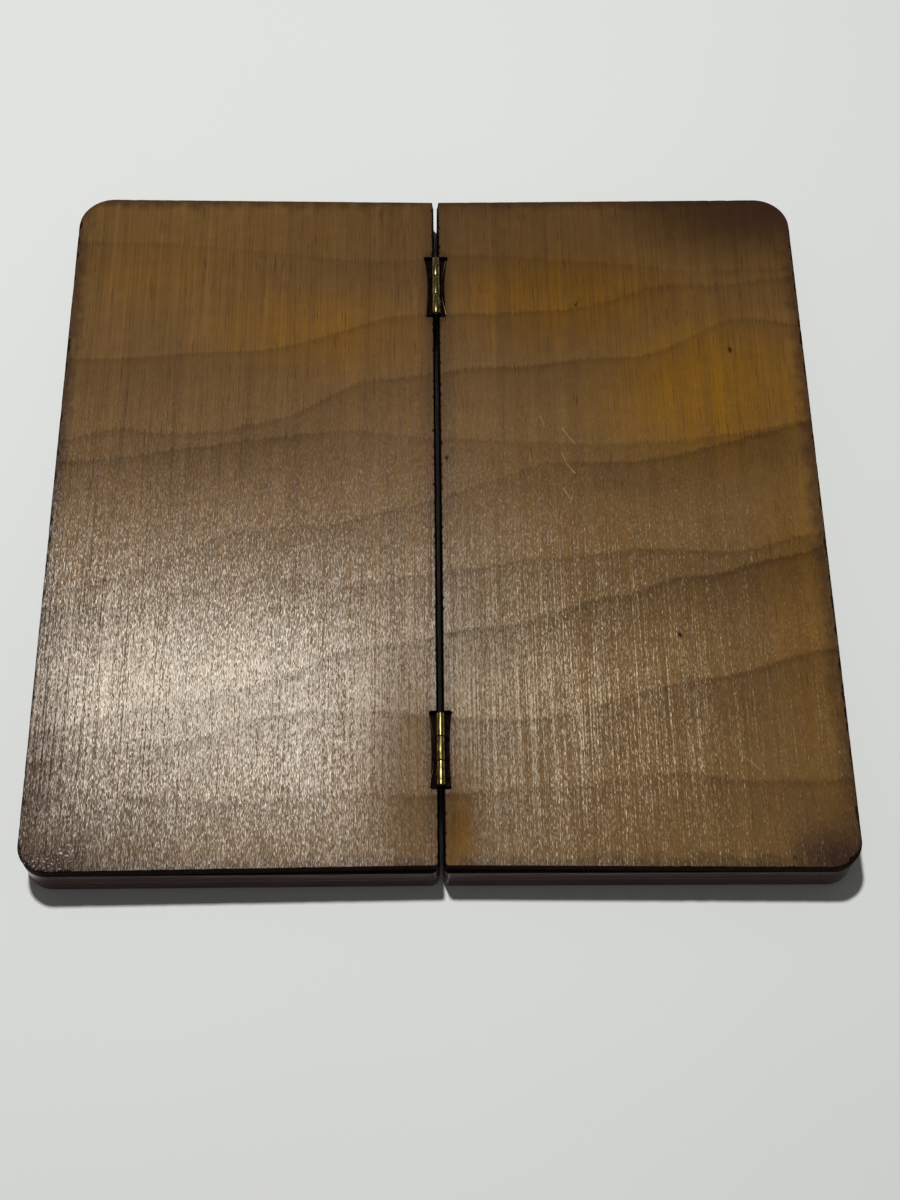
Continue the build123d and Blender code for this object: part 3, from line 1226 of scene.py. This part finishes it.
@dataclass
class Hinge:
    """One three-knuckle butt hinge, let in flat with its knuckles in the notches."""

    place: HingePlace
    sheet: float = 0.45 * MM
    knuckle_gap: float = 0.2 * MM
    slot_reach: float = 1.35 * MM
    slot_flare: float = 2.3 * MM
    curl_deg: float = 318.0
    curl_steps: int = 40
    arris: float = 0.07 * MM
    slot_arris: float = 0.16 * MM
    barrel_reach: float = 1.2 * MM
    slots_reach: float = 3 * MM
    touch: float = 0.01 * MM
    slot_deg: float = 40.0
    sharp_deg: float = 50.0
    smooth_deg: float = 35.0
    pin_end_deg: float = 60.0
    pin_end_share: float = 0.3

    def node(self, part: str) -> str:
        """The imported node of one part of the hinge."""
        return f"{self.place.value}_hinge_{part}"

    def outer_side(self) -> Side:
        """The side whose plate has the two outer knuckles: the one that carries the pin."""
        bodies = frame["record"]["behaviour"]["bodies"]
        return next(side for side in Side if self.node("pin") in bodies[side.body])

    def plate_outline(self, side: Side) -> list[tuple[float, float]]:
        """The flat plate's corners, with slots for the other plate's knuckles.

        Args:
            side: The plate's leaf.

        Returns:
            Distance from the fold line and along it, in metres, in order round the plate.
        """
        low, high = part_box(self.node(f"{side.word}_plate"))
        width = max(abs(low[0]), abs(high[0]))
        half = (high[1] - low[1]) / 2
        knuckle = (2 * half - 2 * self.knuckle_gap) / 3
        shoulder = knuckle / 2 + self.knuckle_gap
        if side == self.outer_side():
            return [
                (width, -half), (width, half), (0, half), (0, shoulder), (self.slot_reach, shoulder),
                (self.slot_reach, -shoulder), (0, -shoulder), (0, -half),
            ]
        return [
            (width, -half), (width, half), (self.slot_flare, half), (self.slot_reach, shoulder),
            (self.slot_reach, knuckle / 2), (0, knuckle / 2), (0, -knuckle / 2),
            (self.slot_reach, -knuckle / 2), (self.slot_reach, -shoulder), (self.slot_flare, -half),
        ]

    def build_plate(self, side: Side, barrel: Material, flat: Material, rubbed: Material) -> Object:
        """Makes one plate and rolls its knuckles round the pin.

        Args:
            side: The plate's leaf.
            barrel: The knuckles' finish.
            flat: The finish of the flat part in the notch.
            rubbed: The finish of the slots' edges.

        Returns:
            The piece.
        """
        node = self.node(f"{side.word}_plate")
        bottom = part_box(node)[0][2]
        pin = hinge_middle(self.place)
        bm = bmesh.new()
        verts = [bm.verts.new((side.value * u, pin.y + v, bottom)) for u, v in self.plate_outline(side)]
        bm.faces.new(verts)
        grown = bmesh.ops.extrude_face_region(bm, geom=bm.faces[:])["geom"]
        top = [g for g in grown if isinstance(g, bmesh.types.BMVert)]
        bmesh.ops.translate(bm, verts=top, vec=(0, 0, self.sheet))
        bmesh.ops.recalc_face_normals(bm, faces=bm.faces[:])
        tabs = [f for f in bm.faces if all(abs(v.co.x) < self.touch for v in f.verts)]
        for tab in tabs:
            bmesh.ops.spin(
                bm, geom=[tab], cent=pin, axis=(0, side.value, 0), dvec=(0, 0, 0),
                angle=math.radians(self.curl_deg), steps=self.curl_steps, use_duplicate=False,
            )
        bmesh.ops.remove_doubles(bm, verts=bm.verts[:], dist=self.touch / 10)
        bmesh.ops.recalc_face_normals(bm, faces=bm.faces[:])
        surface = bottom + self.sheet
        slots = [
            e for e in bm.edges
            if all(abs(v.co.z - surface) < self.touch for v in e.verts)
            and all(self.barrel_reach < abs(v.co.x) < self.slots_reach for v in e.verts)
            and e.calc_face_angle() > math.radians(self.slot_deg)
        ]
        worn = bmesh.ops.bevel(bm, geom=slots, offset=self.slot_arris, segments=3, **ROUND_EDGES)["faces"]
        sharp = [
            e for e in bm.edges
            if e.is_manifold and e.calc_face_angle() > math.radians(self.sharp_deg)
            and not any(f in worn for f in e.link_faces)
        ]
        for part in bm.faces:
            in_barrel = abs(part.calc_center_bounds().x) < self.barrel_reach
            part.material_index = 0 if in_barrel else 1
        for part in worn:
            part.material_index = 2
        bmesh.ops.bevel(bm, geom=sharp, offset=self.arris, segments=2, **ROUND_EDGES)
        shade_by_angle(bm, self.smooth_deg)
        piece = make_piece(bm, self.node(f"{side.word}_leaf"), side, node)
        dress(piece, barrel, flat, rubbed)
        return piece

    def build_pin(self, finish: Material) -> Object:
        """Makes the pin, with its ends broken.

        Args:
            finish: The steel.

        Returns:
            The piece.
        """
        low, high = (Vector(corner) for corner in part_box(self.node("pin")))
        radius = (high.x - low.x) / 2
        bm = bmesh.new()
        bmesh.ops.create_cone(
            bm, cap_ends=True, segments=32, radius1=radius, radius2=radius, depth=high.y - low.y,
            matrix=Matrix.Translation((low + high) / 2) @ Matrix.Rotation(math.pi / 2, 4, "X"),
        )
        ends = [e for e in bm.edges if e.calc_face_angle() > math.radians(self.pin_end_deg)]
        bmesh.ops.bevel(bm, geom=ends, offset=radius * self.pin_end_share, segments=3, **ROUND_EDGES)
        shade_by_angle(bm, self.smooth_deg)
        piece = make_piece(bm, self.node("wire"), self.outer_side(), self.node("pin"))
        dress(piece, finish)
        return piece


@dataclass
class Studio:
    """The pale table, the lamp above and behind it, and the camera that looks down on it."""

    camera_mm: tuple[float, float, float] = (-5.45, -205.17, 372.54)
    camera_deg: tuple[float, float, float] = (26.558, -0.913, -0.677)
    lens_mm: float = 53.93
    sensor_mm: float = 36.0
    nearest_seen: float = 0.01
    lamp_mm: tuple[float, float, float] = (-125.0, 237.0, 1000.0)
    lamp_size_mm: float = 76.0
    lamp_share: float = 0.88
    room_share: float = 0.12
    wall_share: float = 0.75
    wall_ends: Ramp = Ramp(0.15, 0.5, 1.0, 0.0)
    table_size: float = 1.2
    table_parts: int = 8

    def build_table(self) -> Object:
        """Makes the table that the board lies on.

        Returns:
            The table, as part of the stage.
        """
        bm = bmesh.new()
        bmesh.ops.create_grid(
            bm, x_segments=self.table_parts, y_segments=self.table_parts, size=self.table_size / 2,
        )
        mesh = bpy.data.meshes.new("table")
        bm.to_mesh(mesh)
        bm.free()
        table = bpy.data.objects.new("table", mesh)
        bpy.context.scene.collection.objects.link(table)
        dress(table, TableTop().material())
        return table

    def hang_lamp(self) -> None:
        """Hangs the lamp, at a level that renders colours as written."""
        place = Vector(self.lamp_mm) * MM
        lamp = bpy.data.lights.new("lamp", "AREA")
        lamp.shape = "DISK"
        lamp.size = self.lamp_size_mm * MM
        lamp.energy = math.pi ** 2 * place.length_squared * self.lamp_share / place.normalized().z
        holder = bpy.data.objects.new("lamp", lamp)
        holder.location = place
        holder.rotation_euler = place.to_track_quat("Z", "Y").to_euler()
        bpy.context.scene.collection.objects.link(holder)

    def fill_room(self) -> None:
        """Sets the room's soft light, and the pale walls that the camera and glossy surfaces see low down."""
        world = bpy.data.worlds.new("room")
        world.use_nodes = True
        tree = world.node_tree
        tree.nodes.clear()
        ray = add_node(tree, "LightPath")
        seen = {0: ray.outputs["Is Camera Ray"], 1: ray.outputs["Is Glossy Ray"]}
        seen = add_node(tree, "Math", seen, operation="MAXIMUM")
        way = add_node(tree, "SeparateXYZ", {0: add_node(tree, "TexCoord").outputs["Generated"]})
        low = add_node(tree, "MapRange", self.wall_ends.over(way.outputs["Z"]))
        wall = add_node(tree, "Math", {0: seen, 1: low}, operation="MULTIPLY")
        level = add_node(tree, "MapRange", Ramp(0.0, 1.0, self.room_share, self.wall_share).over(wall))
        sky = add_node(tree, "Background", {"Color": (1, 1, 1, 1), "Strength": level})
        add_node(tree, "OutputWorld", {"Surface": sky})
        bpy.context.scene.world = world

    def aim_camera(self) -> None:
        """Puts the camera where the picture was taken from."""
        lens = bpy.data.cameras.new("camera")
        lens.lens = self.lens_mm
        lens.sensor_width = self.sensor_mm
        lens.clip_start = self.nearest_seen
        camera = bpy.data.objects.new("camera", lens)
        camera.location = [c * MM for c in self.camera_mm]
        camera.rotation_euler = [math.radians(a) for a in self.camera_deg]
        bpy.context.scene.collection.objects.link(camera)
        bpy.context.scene.camera = camera


def dress_packed_nodes(scorched: Material) -> None:
    """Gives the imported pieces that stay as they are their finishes.

    Args:
        scorched: The finish of the face panels' edges.
    """
    board = LacqueredEdge().material()
    finishes = {
        "_face_panel": scorched,
        "_core_panel": board,
        "_playing_panel": board,
        "_light_squares": SquareVeneer("light_square_veneer", "#C79A62", "#8E6537").material(),
        "_dark_squares": SquareVeneer("dark_square_veneer", "#5B3320", "#2A150D").material(),
        "_closure_magnets": PlainSteel("nickel_plating", "#C9C7C0", 0.22).material(),
        "_nails": PlainSteel("plain_nail", "#8B8884", 0.4).material(),
    }
    for name, node in frame["nodes"].items():
        for ending, finish in finishes.items():
            if name.endswith(ending):
                dress(node, finish)
                LOG.info("%s: %s", name, finish.name)


def main() -> None:
    """Builds the board's visible pieces, the table, the lamp and the camera."""
    logging.basicConfig(level=logging.INFO, format="%(message)s")
    bpy.context.scene.view_settings.view_transform = "Standard"
    studio = Studio()
    studio.aim_camera()
    studio.hang_lamp()
    studio.fill_room()
    studio.build_table()
    stained = StainedVeneer().material()
    scorched = ScorchedEdge().material()
    barrel = AgedBrass("aged_brass", "#857549", "#38301A", 0.19).material()
    # The flat parts of the hinge plates in the notches are given a nearly black brass.
    flat = AgedBrass("sooted_brass", "#100906", "#060302", 0.55).material()
    rubbed = AgedBrass("rubbed_brass", "#CDB98C", "#8A7648", 0.28).material()
    wire = PlainSteel("drawn_wire", "#7C7A76", 0.35).material()
    for side in Side:
        veneer = FaceVeneer(side)
        LOG.info("%s", veneer.build(stained, scorched).name)
        for place in HingePlace:
            LOG.info("%s", veneer.build_lip(place, stained).name)
    for place in HingePlace:
        hinge = Hinge(place)
        LOG.info("%s", hinge.build_pin(wire).name)
        for side in Side:
            LOG.info("%s", hinge.build_plate(side, barrel, flat, rubbed).name)
    dress_packed_nodes(scorched)


if __name__ == "__main__":
    main()
